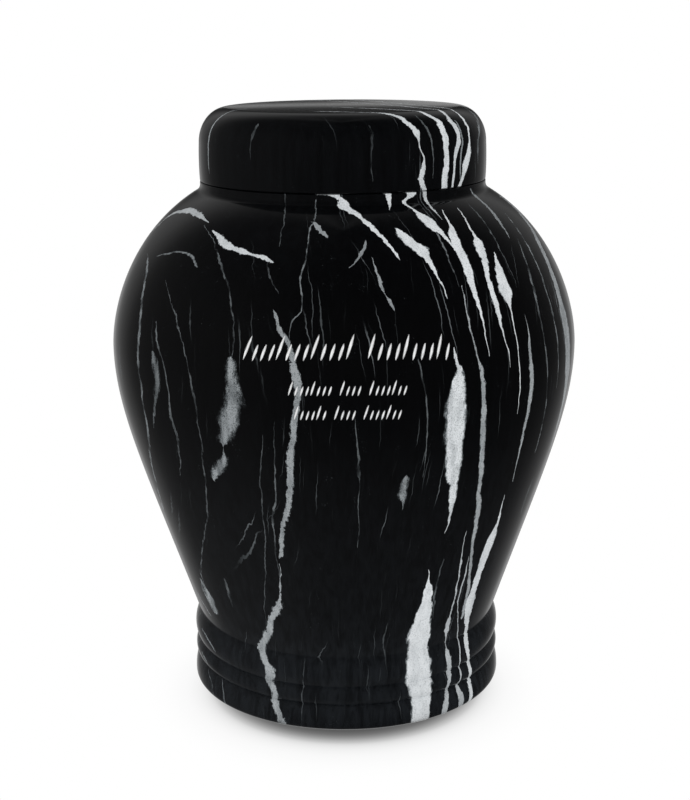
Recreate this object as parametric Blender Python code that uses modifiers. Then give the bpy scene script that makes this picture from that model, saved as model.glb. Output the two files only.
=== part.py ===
"""Cremation urn of black veined marble: a hollow turned body and a cap that lifts off its neck.

The object stands on the ground plane with its axis on world Z. Its engraved front faces -Y.
Lengths are metres. An outline is a list of (radius, height) points for a turned piece.
"""

import math

import bmesh
import bpy
from mathutils import Matrix, Vector

# Heights of the body, stacked from the ground up
FOOT_HEIGHT = 0.0113            # foot band, up to the lower groove
LOWER_BEAD_HEIGHT = 0.0084      # lower groove to upper groove
UPPER_BEAD_HEIGHT = 0.0141      # upper groove to the waist
SWELL_HEIGHT = 0.1277           # waist to the widest line of the belly
SHOULDER_HEIGHT = 0.0695        # widest line to the corner under the neck band
NECK_BAND_HEIGHT = 0.0036       # that corner to the seat of the lid

# Radii of the body
FOOT_RADIUS = 0.0725
BEAD_RADIUS = 0.0720
GROOVE_DEPTH = 0.0017
WAIST_RADIUS = 0.0696
BELLY_RADIUS = 0.1049
NECK_RADIUS = 0.0637            # the neck band and the lid share it

# Edges of the body
FOOT_EDGE = 0.0026              # rounding where the foot meets the ground
FOOT_SHOULDER = 0.0028          # how far below its groove the foot band starts to draw in
COVE = 0.0023                   # hollow where the shoulder turns up into the neck band
SEAT_EDGE = 0.0006              # rounding of both edges at the seam

# Free form of the belly, as shares of its own height and of how far it swells
SWELL_LOWER_PULL = (0.680, 0.565)
SWELL_UPPER_PULL = 0.225
SHOULDER_LOWER_PULL = 0.272
SHOULDER_UPPER_PULL = (0.741, 0.245)

# Stone thickness and the hollow
WALL = 0.0160
FLOOR = 0.0200
FLOOR_FILLET = 0.0120           # rounding of the hollow at its floor
THROAT_FILLET = 0.0030          # rounding where the hollow runs up into the neck

# Neck collar and the cap over it
CAP_WALL = 0.0110
CAP_TOP = 0.0120
LID_HEIGHT = 0.03205
LID_CLEARANCE = 0.0007          # between the collar and the bore of the lid, all round
LID_HEADROOM = 0.0030           # between the collar and the ceiling of the lid
SEAM = 0.0003                   # the lid rests this far above its seat
COLLAR_WALL = 0.0085
COLLAR_EDGE = 0.0010
CEILING_FILLET = 0.0030
LID_CORNER_WIDTH = 0.0126
LID_CORNER_HEIGHT = 0.0158
LID_BULGE = 0.0002              # how far the side of the lid swells between its edges
LID_CROWN = 0.0005              # how far the middle of the top stands above its rim

# Engraved rows on the front: plain slanted cuts in groups, a long row over two short ones
NAME_ROW_RISE = 0.0127          # foot of the long row above the widest line
DATE_ROW_DROP = 0.0137          # foot of the first short row below the foot of the long one
DATE_ROW_SPACING = 0.0100
NAME_GROUPS = (13, 10)
DATE_GROUPS = ((8, 4, 7), (6, 4, 7))
NAME_CUT = {"height": 0.0112, "width": 0.0014, "pitch": 0.0035, "gap": 0.0050}
DATE_CUT = {"height": 0.0066, "width": 0.0010, "pitch": 0.00225, "gap": 0.0026}
CUT_DEPTH = 0.0008
CUT_LEAN = math.radians(18)     # lean of each cut from upright
LOW_CUT = 0.66                  # height of a low cut as a share of a tall one
TALL_EVERY = 4                  # the first of every so many cuts is a tall one
ROW_TURN = math.radians(0.8)    # middle of the rows, right of the front
READING_ANGLE = math.radians(12.6)   # rows look straight to someone looking down at this angle

# Fineness of the faceted solids
FACETS = 48
BEAD_STEPS = 4
SWELL_STEPS = 9
SHOULDER_STEPS = 8
CORNER_STEPS = 5
EDGE_STEPS = 2
CUT_SIDES = 4
SMOOTH_BELOW = math.radians(32)
MERGE = 0.00001


def empty_scene():
    """Remove what a new file brings."""
    for leftover in list(bpy.data.objects):
        bpy.data.objects.remove(leftover, do_unlink=True)


def new_collection(name):
    collection = bpy.data.collections.new(name)
    bpy.context.scene.collection.children.link(collection)
    return collection


def plain_material(name, colour, roughness):
    material = bpy.data.materials.new(name)
    material.use_nodes = True
    shader = material.node_tree.nodes["Principled BSDF"]
    shader.inputs["Base Color"].default_value = (*colour, 1)
    shader.inputs["Roughness"].default_value = roughness
    shader.inputs["Metallic"].default_value = 0
    material.diffuse_color = (*colour, 1)
    return material


# Curves for outlines


def point(radius, height):
    return Vector((radius, height))


def cubic(start, start_handle, end_handle, end, steps):
    """A cubic curve, with both its ends."""
    curve = []
    for step in range(steps + 1):
        t = step / steps
        s = 1 - t
        curve.append(s**3 * start + 3 * s * s * t * start_handle + 3 * s * t * t * end_handle + t**3 * end)
    return curve


def rounded(before, corner, after, steps):
    """A curve from before to after that cuts the corner and touches both its sides."""
    return cubic(before, before.lerp(corner, 2 / 3), after.lerp(corner, 2 / 3), after, steps)


def bead(start, end, rise, steps):
    """A circular arc from start up to end that stands rise proud of the line between them."""
    along = (end - start).normalized()
    outward = point(along.y, -along.x)
    half = (end - start).length / 2
    radius = (half * half + rise * rise) / (2 * rise)
    half_angle = math.asin(half / radius)
    centre = (start + end) / 2 + outward * (rise - radius)
    arc = []
    for step in range(steps + 1):
        angle = half_angle * (2 * step / steps - 1)
        arc.append(centre + radius * (outward * math.cos(angle) + along * math.sin(angle)))
    return arc


def inset(outline, distance):
    """An outline that runs upwards, moved square to itself towards the axis."""
    moved = []
    for before, here, after in zip(outline[:1] + outline, outline, outline[1:] + outline[-1:]):
        along = (after - before).normalized()
        moved.append(here - distance * point(along.y, -along.x))
    return moved


# Levels and radii that several pieces share

LOWER_GROOVE = FOOT_HEIGHT
UPPER_GROOVE = LOWER_GROOVE + LOWER_BEAD_HEIGHT
WAIST = UPPER_GROOVE + UPPER_BEAD_HEIGHT
BELLY = WAIST + SWELL_HEIGHT
NECK_CORNER = BELLY + SHOULDER_HEIGHT
SEAT = NECK_CORNER + NECK_BAND_HEIGHT
LID_BOTTOM = SEAT + SEAM
LID_TOP = LID_BOTTOM + LID_HEIGHT
LID_CEILING = LID_TOP - CAP_TOP
COLLAR_TOP = LID_CEILING - LID_HEADROOM
LID_BORE = NECK_RADIUS - CAP_WALL
COLLAR_RADIUS = LID_BORE - LID_CLEARANCE
MOUTH_RADIUS = COLLAR_RADIUS - COLLAR_WALL


# Outlines of the body, each from its foot upwards


def base_outline():
    """Foot band and two beads, from the underside to the waist."""
    ground_edge = rounded(
        point(FOOT_RADIUS - FOOT_EDGE, 0),
        point(FOOT_RADIUS, 0),
        point(FOOT_RADIUS, FOOT_EDGE),
        EDGE_STEPS + 1,
    )
    lower_groove = point(BEAD_RADIUS - GROOVE_DEPTH, LOWER_GROOVE)
    upper_groove = point(BEAD_RADIUS - GROOVE_DEPTH, UPPER_GROOVE)
    waist = point(WAIST_RADIUS, WAIST)
    foot_band = rounded(
        ground_edge[-1],
        point(FOOT_RADIUS, LOWER_GROOVE - FOOT_SHOULDER),
        lower_groove,
        EDGE_STEPS + 1,
    )
    lower_bead = bead(lower_groove, upper_groove, GROOVE_DEPTH, BEAD_STEPS)
    upper_rise = BEAD_RADIUS - (upper_groove.x + waist.x) / 2
    upper_bead = bead(upper_groove, waist, upper_rise, BEAD_STEPS)
    return ground_edge + foot_band[1:] + lower_bead[1:] + upper_bead[1:]


def swell_outline(steps):
    """From the waist out to the widest line."""
    swell = BELLY_RADIUS - WAIST_RADIUS
    return cubic(
        point(WAIST_RADIUS, WAIST),
        point(WAIST_RADIUS + SWELL_LOWER_PULL[0] * swell, WAIST + SWELL_LOWER_PULL[1] * SWELL_HEIGHT),
        point(BELLY_RADIUS, BELLY - SWELL_UPPER_PULL * SWELL_HEIGHT),
        point(BELLY_RADIUS, BELLY),
        steps,
    )


def shoulder_outline(steps):
    """From the widest line in to the corner under the neck band."""
    draw_in = BELLY_RADIUS - NECK_RADIUS
    return cubic(
        point(BELLY_RADIUS, BELLY),
        point(BELLY_RADIUS, BELLY + SHOULDER_LOWER_PULL * SHOULDER_HEIGHT),
        point(
            NECK_RADIUS + SHOULDER_UPPER_PULL[0] * draw_in,
            NECK_CORNER - SHOULDER_UPPER_PULL[1] * SHOULDER_HEIGHT,
        ),
        point(NECK_RADIUS, NECK_CORNER),
        steps,
    )


def neck_outline(shoulder):
    """The cove and neck band above the shoulder, out to in over the seat and up the collar."""
    corner = shoulder[-1]
    downhill = (shoulder[-2] - corner).normalized()
    cove = rounded(corner + COVE * downhill, corner, corner + point(0, COVE), EDGE_STEPS + 1)
    seat_edge = rounded(
        point(NECK_RADIUS, SEAT - SEAT_EDGE),
        point(NECK_RADIUS, SEAT),
        point(NECK_RADIUS - SEAT_EDGE, SEAT),
        EDGE_STEPS,
    )
    collar_edge = rounded(
        point(COLLAR_RADIUS, COLLAR_TOP - COLLAR_EDGE),
        point(COLLAR_RADIUS, COLLAR_TOP),
        point(COLLAR_RADIUS - COLLAR_EDGE, COLLAR_TOP),
        EDGE_STEPS,
    )
    return cove + seat_edge + [point(COLLAR_RADIUS, SEAT)] + collar_edge


def hollow_outline():
    """The hollow, from the middle of its floor up its wall and through the mouth."""
    shoulder = shoulder_outline(SHOULDER_STEPS)
    wall = inset(swell_outline(SWELL_STEPS)[:-1] + shoulder, WALL)
    flare = (wall[1] - wall[0]).normalized()
    floor_corner = wall[0] - flare * ((wall[0].y - FLOOR) / flare.y)
    floor_edge = rounded(
        floor_corner - point(FLOOR_FILLET, 0),
        floor_corner,
        floor_corner + FLOOR_FILLET * flare,
        EDGE_STEPS + 1,
    )
    inward = (wall[-1] - wall[-2]).normalized()
    throat_corner = wall[-1] + inward * ((wall[-1].x - MOUTH_RADIUS) / -inward.x)
    throat = rounded(
        throat_corner - THROAT_FILLET * inward,
        throat_corner,
        throat_corner + point(0, THROAT_FILLET),
        EDGE_STEPS,
    )
    mouth_edge = rounded(
        point(MOUTH_RADIUS, COLLAR_TOP - COLLAR_EDGE),
        point(MOUTH_RADIUS, COLLAR_TOP),
        point(MOUTH_RADIUS + COLLAR_EDGE, COLLAR_TOP),
        EDGE_STEPS,
    )
    between = [spot for spot in wall if floor_edge[-1].y < spot.y < throat[0].y]
    return [point(0, FLOOR)] + floor_edge + between + throat + mouth_edge


def body_outline():
    """The whole section of the body: up inside the hollow, over the collar and down outside."""
    shoulder = shoulder_outline(SHOULDER_STEPS)
    above_cove = [spot for spot in shoulder if (spot - shoulder[-1]).length > COVE]
    outside = base_outline() + swell_outline(SWELL_STEPS)[1:-1] + above_cove + neck_outline(shoulder)
    return hollow_outline() + outside[::-1] + [point(0, 0)]


def lid_outline():
    """The whole section of the cap: down outside, in along its rim and up its bore."""
    rim_radius = NECK_RADIUS - LID_CORNER_WIDTH
    rim = point(rim_radius, LID_TOP - LID_CROWN)
    opposite_rim = point(-rim_radius, LID_TOP - LID_CROWN)
    crown = bead(rim, opposite_rim, LID_CROWN, 2 * EDGE_STEPS)
    top = crown[EDGE_STEPS::-1]
    corner_height = LID_CORNER_HEIGHT - LID_CROWN
    corner = []
    for step in range(1, CORNER_STEPS + 1):
        angle = math.radians(90) * step / CORNER_STEPS
        corner.append(
            point(
                rim_radius + LID_CORNER_WIDTH * math.sin(angle),
                LID_TOP - LID_CORNER_HEIGHT + corner_height * math.cos(angle),
            )
        )
    outer_edge = rounded(
        point(NECK_RADIUS, LID_BOTTOM + SEAT_EDGE),
        point(NECK_RADIUS, LID_BOTTOM),
        point(NECK_RADIUS - SEAT_EDGE, LID_BOTTOM),
        EDGE_STEPS,
    )
    side = bead(outer_edge[0], corner[-1], LID_BULGE, EDGE_STEPS)[::-1]
    bore_edge = [point(LID_BORE + SEAT_EDGE, LID_BOTTOM), point(LID_BORE, LID_BOTTOM + SEAT_EDGE)]
    ceiling_edge = rounded(
        point(LID_BORE, LID_CEILING - CEILING_FILLET),
        point(LID_BORE, LID_CEILING),
        point(LID_BORE - CEILING_FILLET, LID_CEILING),
        EDGE_STEPS,
    )
    return top + corner + side[1:-1] + outer_edge + bore_edge + ceiling_edge + [point(0, LID_CEILING)]


# Solids


def turned(name, outline, material, collection):
    """A solid of revolution. Its outline runs down on the outer side."""
    profile = bpy.data.meshes.new(name + "_profile")
    vertices = [(spot.x, 0, spot.y) for spot in outline]
    edges = [(index, index + 1) for index in range(len(outline) - 1)]
    profile.from_pydata(vertices, edges, [])
    lathe = bpy.data.objects.new(name + "_lathe", profile)
    collection.objects.link(lathe)
    screw = lathe.modifiers.new("Lathe", "SCREW")
    screw.axis = "Z"
    screw.angle = math.radians(360)
    screw.steps = FACETS
    screw.render_steps = FACETS
    screw.use_merge_vertices = True
    screw.merge_threshold = MERGE
    bpy.context.view_layer.update()
    evaluated = lathe.evaluated_get(bpy.context.evaluated_depsgraph_get())
    mesh = bpy.data.meshes.new_from_object(evaluated)
    mesh.name = name
    mesh.materials.clear()
    mesh.materials.append(material)
    mesh.shade_smooth()
    mesh.set_sharp_from_angle(angle=SMOOTH_BELOW)
    bpy.data.objects.remove(lathe, do_unlink=True)
    bpy.data.meshes.remove(profile)
    piece = bpy.data.objects.new(name, mesh)
    collection.objects.link(piece)
    return piece


def belly_surface(height):
    """Radius of the belly at a height, and the direction up along its surface."""
    outline = swell_outline(SWELL_STEPS)[:-1] + shoulder_outline(SHOULDER_STEPS)
    low, high = next(pair for pair in zip(outline, outline[1:]) if height <= pair[1].y)
    share = (height - low.y) / (high.y - low.y)
    return low.lerp(high, share).x, (high - low).normalized()


def add_cut(cuts, azimuth, foot, cut, tall):
    """One slanted chisel cut, pointed at both ends and V-shaped across."""
    length = cut["height"] * (1 if tall else LOW_CUT)
    front_radius, _ = belly_surface(foot)
    drop = math.tan(READING_ANGLE) * front_radius * (1 - math.cos(azimuth))
    height = foot + length / 2 - drop
    radius, rise = belly_surface(height)
    outward = Vector((math.sin(azimuth), -math.cos(azimuth), 0))
    across = Vector((math.cos(azimuth), math.sin(azimuth), 0))
    upward = outward * rise.x + Vector((0, 0, rise.y))
    along = upward * math.cos(CUT_LEAN) + across * math.sin(CUT_LEAN)
    side = across * math.cos(CUT_LEAN) - upward * math.sin(CUT_LEAN)
    normal = along.cross(side)
    shape = Matrix((side * cut["width"] / 2, normal * CUT_DEPTH, along * length / 2)).transposed()
    place = Matrix.Translation(outward * radius + Vector((0, 0, height)))
    bmesh.ops.create_uvsphere(
        cuts, u_segments=CUT_SIDES, v_segments=CUT_SIDES, radius=1, matrix=place @ shape.to_4x4()
    )


def add_row(cuts, foot, groups, cut):
    """A row of cuts in groups, centred on the turn of the rows."""
    offsets = []
    reach = 0
    for count in groups:
        for index in range(count):
            offsets.append((reach, index % TALL_EVERY == 0))
            reach += cut["pitch"]
        reach += cut["gap"]
    middle = (offsets[0][0] + offsets[-1][0]) / 2
    radius, _ = belly_surface(foot)
    for offset, tall in offsets:
        add_cut(cuts, ROW_TURN + (offset - middle) / radius, foot, cut, tall)


def engraving_cutter(material, collection):
    cuts = bmesh.new()
    name_row = BELLY + NAME_ROW_RISE
    add_row(cuts, name_row, NAME_GROUPS, NAME_CUT)
    for index, groups in enumerate(DATE_GROUPS):
        add_row(cuts, name_row - DATE_ROW_DROP - index * DATE_ROW_SPACING, groups, DATE_CUT)
    mesh = bpy.data.meshes.new("engraving_cuts")
    cuts.to_mesh(mesh)
    cuts.free()
    mesh.materials.append(material)
    cutter = bpy.data.objects.new("engraving_cuts", mesh)
    cutter.hide_render = True
    cutter.display_type = "WIRE"
    collection.objects.link(cutter)
    return cutter


def build():
    empty_scene()
    urn = new_collection("cremation_urn")
    cutters = new_collection("cutters")
    body_stone = plain_material("body_marble", (0.012, 0.012, 0.014), 0.12)
    lid_stone = plain_material("lid_marble", (0.014, 0.014, 0.016), 0.12)
    paint = plain_material("engraving_paint", (0.80, 0.80, 0.80), 0.6)
    body = turned("urn_body", body_outline(), body_stone, urn)
    body.data.materials.append(paint)
    engrave = body.modifiers.new("Engraving", "BOOLEAN")
    engrave.operation = "DIFFERENCE"
    engrave.solver = "EXACT"
    engrave.material_mode = "TRANSFER"
    engrave.object = engraving_cutter(paint, cutters)
    turned("lid", lid_outline(), lid_stone, urn)


build()
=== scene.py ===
"""Looks of the cremation urn: fine turned marble, painted engraving, a pale studio and the camera.

The urn stands on z = 0 with its axis on z, its engraved front towards -y and +x to the right.
Lengths are metres. Veins are listed in millimetres and degrees: a height, an azimuth that is 0 at the
front and grows to the right, and a half width square to the sheet of stone that the vein lies in.
"""

import math
from collections import namedtuple

import bmesh
import bpy
import numpy as np
from mathutils import Matrix, Vector


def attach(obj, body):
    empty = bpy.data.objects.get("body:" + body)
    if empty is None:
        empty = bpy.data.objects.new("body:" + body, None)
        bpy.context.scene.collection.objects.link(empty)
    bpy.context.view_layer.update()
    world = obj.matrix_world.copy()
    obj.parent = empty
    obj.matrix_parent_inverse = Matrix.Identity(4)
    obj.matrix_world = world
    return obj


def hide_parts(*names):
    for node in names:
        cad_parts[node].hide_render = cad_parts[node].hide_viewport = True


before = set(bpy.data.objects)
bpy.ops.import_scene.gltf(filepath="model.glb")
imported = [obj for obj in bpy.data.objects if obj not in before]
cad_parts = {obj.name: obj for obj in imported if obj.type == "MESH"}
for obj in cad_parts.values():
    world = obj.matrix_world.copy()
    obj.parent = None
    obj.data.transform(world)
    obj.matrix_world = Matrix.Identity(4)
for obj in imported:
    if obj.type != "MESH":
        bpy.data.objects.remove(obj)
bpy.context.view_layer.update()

# Heights and radii of the turned form, the same values as in the model's source
FOOT_HEIGHT = 0.0113
LOWER_BEAD_HEIGHT = 0.0084
UPPER_BEAD_HEIGHT = 0.0141
SWELL_HEIGHT = 0.1277
SHOULDER_HEIGHT = 0.0695
NECK_BAND_HEIGHT = 0.0036
FOOT_RADIUS = 0.0725
BEAD_RADIUS = 0.0720
GROOVE_DEPTH = 0.0017
WAIST_RADIUS = 0.0696
BELLY_RADIUS = 0.1049
NECK_RADIUS = 0.0637
FOOT_EDGE = 0.0026
FOOT_SHOULDER = 0.0028
COVE = 0.0023
SEAT_EDGE = 0.0006
SWELL_LOWER_PULL = (0.680, 0.565)
SWELL_UPPER_PULL = 0.225
SHOULDER_LOWER_PULL = 0.272
SHOULDER_UPPER_PULL = (0.741, 0.245)
WALL = 0.0160
FLOOR = 0.0200
FLOOR_FILLET = 0.0120
THROAT_FILLET = 0.0030
CAP_WALL = 0.0110
CAP_TOP = 0.0120
LID_HEIGHT = 0.03205
LID_CLEARANCE = 0.0007
LID_HEADROOM = 0.0030
SEAM = 0.0003
COLLAR_WALL = 0.0085
COLLAR_EDGE = 0.0010
CEILING_FILLET = 0.0030
LID_CORNER_WIDTH = 0.0126
LID_CORNER_HEIGHT = 0.0158
LID_BULGE = 0.0002
LID_CROWN = 0.0005

# Engraved rows, the same values as in the model's source
NAME_ROW_RISE = 0.0127
DATE_ROW_DROP = 0.0137
DATE_ROW_SPACING = 0.0100
NAME_GROUPS = (13, 10)
DATE_GROUPS = ((8, 4, 7), (6, 4, 7))
NAME_CUT = {"height": 0.0112, "width": 0.0014, "pitch": 0.0035, "gap": 0.0050}
DATE_CUT = {"height": 0.0066, "width": 0.0010, "pitch": 0.00225, "gap": 0.0026}
CUT_DEPTH = 0.0008
CUT_LEAN = math.radians(18)
LOW_CUT = 0.66
TALL_EVERY = 4
ROW_TURN = math.radians(0.8)
READING_ANGLE = math.radians(12.6)
PAINT_BELOW = 0.00012           # the paint stops this far under the polished surface

# Fineness of the turned meshes
SEGMENTS = 256
SWELL_STEPS = 64
SHOULDER_STEPS = 44
BEAD_STEPS = 14
CORNER_STEPS = 20
EDGE_STEPS = 6
SIDE_STEPS = 8
CUT_STEPS = 20
MERGE = 0.00001
SMOOTH_BELOW = math.radians(30)

# How a corner of the polished surface is told from one in a cut
ENGRAVED_BELOW = 0.020          # how far below and above the widest line the cuts may lie
ENGRAVED_ABOVE = 0.032
SURFACE_GAP = 0.0002
SURFACE_TURN = math.radians(6)

# The map of the stone pieces
HIDDEN_SHARE = 0.3              # how large what hides is in the map, against what shows
SEEN_DEPTH = 0.0007             # how far inside the outer line a run of the outline still shows
SEEN_TOP = 0.0012               # the same below the top of the lid
SHORTEST_RUN = 1e-9
SPOTS_AT_ONCE = 4000

# Levels that several pieces share
LOWER_GROOVE = FOOT_HEIGHT
UPPER_GROOVE = LOWER_GROOVE + LOWER_BEAD_HEIGHT
WAIST = UPPER_GROOVE + UPPER_BEAD_HEIGHT
BELLY = WAIST + SWELL_HEIGHT
NECK_CORNER = BELLY + SHOULDER_HEIGHT
SEAT = NECK_CORNER + NECK_BAND_HEIGHT
LID_BOTTOM = SEAT + SEAM
LID_TOP = LID_BOTTOM + LID_HEIGHT
LID_CEILING = LID_TOP - CAP_TOP
COLLAR_TOP = LID_CEILING - LID_HEADROOM
LID_BORE = NECK_RADIUS - CAP_WALL
COLLAR_RADIUS = LID_BORE - LID_CLEARANCE
MOUTH_RADIUS = COLLAR_RADIUS - COLLAR_WALL

# The camera, fitted to the outline of the urn in a frame of 690 by 800 pixels
CAMERA_PLACE = (0.00024, -0.6704, 0.3052)
CAMERA_DROP = math.radians(14.4865)      # how far it looks down
CAMERA_ROLL = math.radians(-0.4475)
CAMERA_LENS = 67.008
CAMERA_SENSOR = 36.0

MM = 0.001

# How the edge of a vein looks: how far it feathers, how much of its length is missing, how grainy it is
Look = namedtuple("Look", "feather gaps grain")
SHARP = Look(0.14, 0.06, 0.55)
PLAIN = Look(0.25, 0.12, 0.95)
THREAD = Look(0.40, 0.60, 0.60)
FLUFFY = Look(0.60, 0.25, 1.25)

# How far the sheet of a vein runs along itself, from and to a distance from the plane through the axis
NEAR = (0, None)
THROUGH = (None, None)
FAR = (None, 0)

# A vein lies in an upright sheet of stone. Its bearing is the azimuth that the sheet faces and its tone
# how white it looks. Points run down from the top: height, azimuth and half width square to the sheet.
Vein = namedtuple("Vein", "bearing tone look points reach", defaults=(NEAR,))

# A band runs nearly level. Points run from left to right: azimuth, height and half height.
Band = namedtuple("Band", "tone look points")

# The half width of a point that gives none, and how far veins and bands fade beyond their ends
TIP = 0.1
VEIN_FADE = 0.5
BAND_FADE = 0.3
SHEET_FADE = 6                  # how far a sheet fades at the end of its reach

# Noise in the stone, by the size of its features in millimetres
SWAYS = (((13, 13, 26), 3.2), ((4, 4, 10), 1.4), ((1.4, 1.4, 3.5), 0.9))    # each with its reach
SWAY_OFFSET = (40, 17, 9)       # sets the sideways sway apart from the other
SWAY_RISE = 0.3
RAGGED_SIZES = (1.1, 1.1, 2.2)
SPECK_SIZES = (0.32, 0.32, 0.45)
PATCH_SIZES = (3.5, 3.5, 11)

# What that noise does to a vein. Its line wanders and its edge crumbles by a share of the half width,
# and at most by so many millimetres.
WIDTH_CHANGE = 0.9
WANDER = (1.2, 1.3)
CRUMBLE = (1.1, 1.1)
GAP_PATCH = (-0.16, 0.10)       # patch noise below which it has a gap
PIT_SPECK = (0.0, 0.24)         # speck noise above which it is pitted
PIT_DEPTH = 0.40

# Slivers, given as bearing and tone: thin wisps in patches, but none near the plane through the axis
BODY_SLIVERS = ((38, 0.42), (8, 0.30))
LID_SLIVERS = ((38, 0.40),)
SLIVER_SIZES = (0.75, 90, 42)
SLIVER_NOISE = (0.70, 0.80)
SLIVER_PATCH_SIZES = (11, 60, 45)
SLIVER_PATCHES = (0.50, 0.66)
SLIVER_START = (18.0, 40.0)

# Dust, where both noises are high
DUST_SPECK = (0.16, 0.26)
DUST_PATCH = (0.02, 0.20)
DUST_TONE = 0.30

# Colours of the stone. A painted reflection lightens the black, by share of the height, most near the foot
# and a little near the top, and in upright streaks that follow the stone's own clouding.
BLACKS = ((0.0008, 0.0008, 0.0010, 1), (0.0110, 0.0127, 0.0150, 1))
PALES = ((0.58, 0.68, 0.73, 1), (0.82, 0.85, 0.87, 1))
PALE_POWER = 2.1
PAINTED_SHEEN_HEIGHT = 267.0
PAINTED_SHEEN = (
    (0, 0.8), (0.1, 0.74), (0.18, 0.36), (0.38, 0.18), (0.55, 0.06), (0.72, 0.035), (0.88, 0.12), (1, 0.12),
)
STREAK_SIZES = (2.5, 2.5, 34)
STREAK_NOISE = (0.25, 0.75)
STREAK_SHARES = (0.45, 1.45)
STONE_ROUGHNESS = (0.07, 0.18)  # of the black and of a white vein
STONE_IOR = 1.5

# Enamel in the cuts
PAINT_SIZES = (0.4, 0.4, 0.4)
PAINT_WHITES = ((0.93, 0.935, 0.94, 1), (0.99, 0.99, 0.99, 1))
PAINT_ROUGHNESS = (0.45, 0.6)

RIGHT_SHOULDER_VEINS = (
    Vein(52, 0.96, SHARP, (
        (237, -4.2, 0.4), (235, -3.6, 0.6), (231.5, -2, 1.2), (229.5, 0.8, 1.7), (228, 3.8, 1.6),
        (226, 6.4, 0.8), (223, 8.9, 1.1), (220, 11, 0.6), (216, 13, 0.5), (211, 14.6),
    )),
    Vein(30, 0.96, SHARP, ((236, 15.6, 1.7), (232, 16.1, 1.1), (228.5, 15.9))),
    Vein(54, 0.96, SHARP, (
        (237, 21, 1.8), (234, 22, 1.5), (231, 23.2, 0.9), (229, 24.4, 0.5), (227, 26.2, 1.1),
        (224, 28, 2.7), (221, 29.3, 2), (218, 30.6, 0.8), (212, 32.4),
    )),
    Vein(42, 0.85, SHARP, ((236, 31.5, 1.1), (230, 32, 0.6), (224, 33.2))),
    Vein(30, 0.50, THREAD, ((221, 28.3, 0.2), (214, 29, 0.35), (207, 29.4, 0.3), (200, 29.6))),
    Vein(56, 0.96, SHARP, (
        (222, 16.4, 0.4), (219.5, 17.6, 1.7), (217, 19, 2.6), (214.5, 20.9, 3), (212, 22, 1.9),
        (209.5, 22.6, 1.1), (206, 23.4, 0.6), (202, 24.4, 0.4), (196, 25.4),
    )),
    Vein(30, 0.96, SHARP, (
        (227, 35.9, 0.2), (222, 34.9, 0.7), (219, 34, 2), (215, 33.3, 2.2), (208, 33.9, 1.9),
        (200, 33.7, 1.3), (192, 33.8, 0.7), (183, 33.9, 0.3), (172, 34),
    ), THROUGH),
    Vein(30, 0.96, SHARP, (
        (227, 42.9, 0.2), (217, 41.6, 0.8), (213, 41.3, 2.6), (209, 40.8, 1.8), (201, 39.4, 1.3),
        (192, 39.1, 1.5), (185, 39, 0.9), (178, 39.3, 0.3), (166, 40),
    )),
    Vein(30, 0.96, SHARP, (
        (210, 45, 0.2), (206, 44.3, 1.2), (203, 43.9, 2.3), (198, 43.5, 2.8), (192, 43.4, 2.2),
        (188, 43.3, 0.4), (176, 43, 0.25), (162, 43.2, 0.3), (145, 43.4),
    ), THROUGH),
    Vein(44, 0.60, PLAIN, ((233, 60.3), (225, 58.7, 0.8), (214, 55.8))),
    Vein(38, 0.50, THREAD, (
        (213, 59.6, 0.2), (203, 56.7, 0.5), (193, 54.9, 0.7), (183, 54.1, 0.5), (171, 54, 0.4),
        (156, 54.7, 0.4), (142, 55.8, 0.4), (122, 56),
    )),
    Vein(34, 0.70, PLAIN, (
        (227, 84, 1.2), (220, 83.5, 2.4), (215, 79.2, 2.3), (207, 73.4, 1.9), (198, 70.7, 1.9),
        (185, 68.4, 2.6), (173, 67.8, 3.6), (159, 68.3, 3.6), (148, 69.1, 2.6), (136, 69.2, 1.6),
        (117, 70.5, 0.4),
    )),
    Vein(36, 0.55, THREAD, ((222, 66, 0.3), (205, 62.6, 0.5), (188, 61, 0.5), (168, 60.5, 0.3), (150, 61))),
    Vein(34, 0.45, THREAD, ((229, 50.5, 0.2), (219, 48.9, 0.4), (206, 47.8, 0.3), (196, 47.6))),
)

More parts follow.
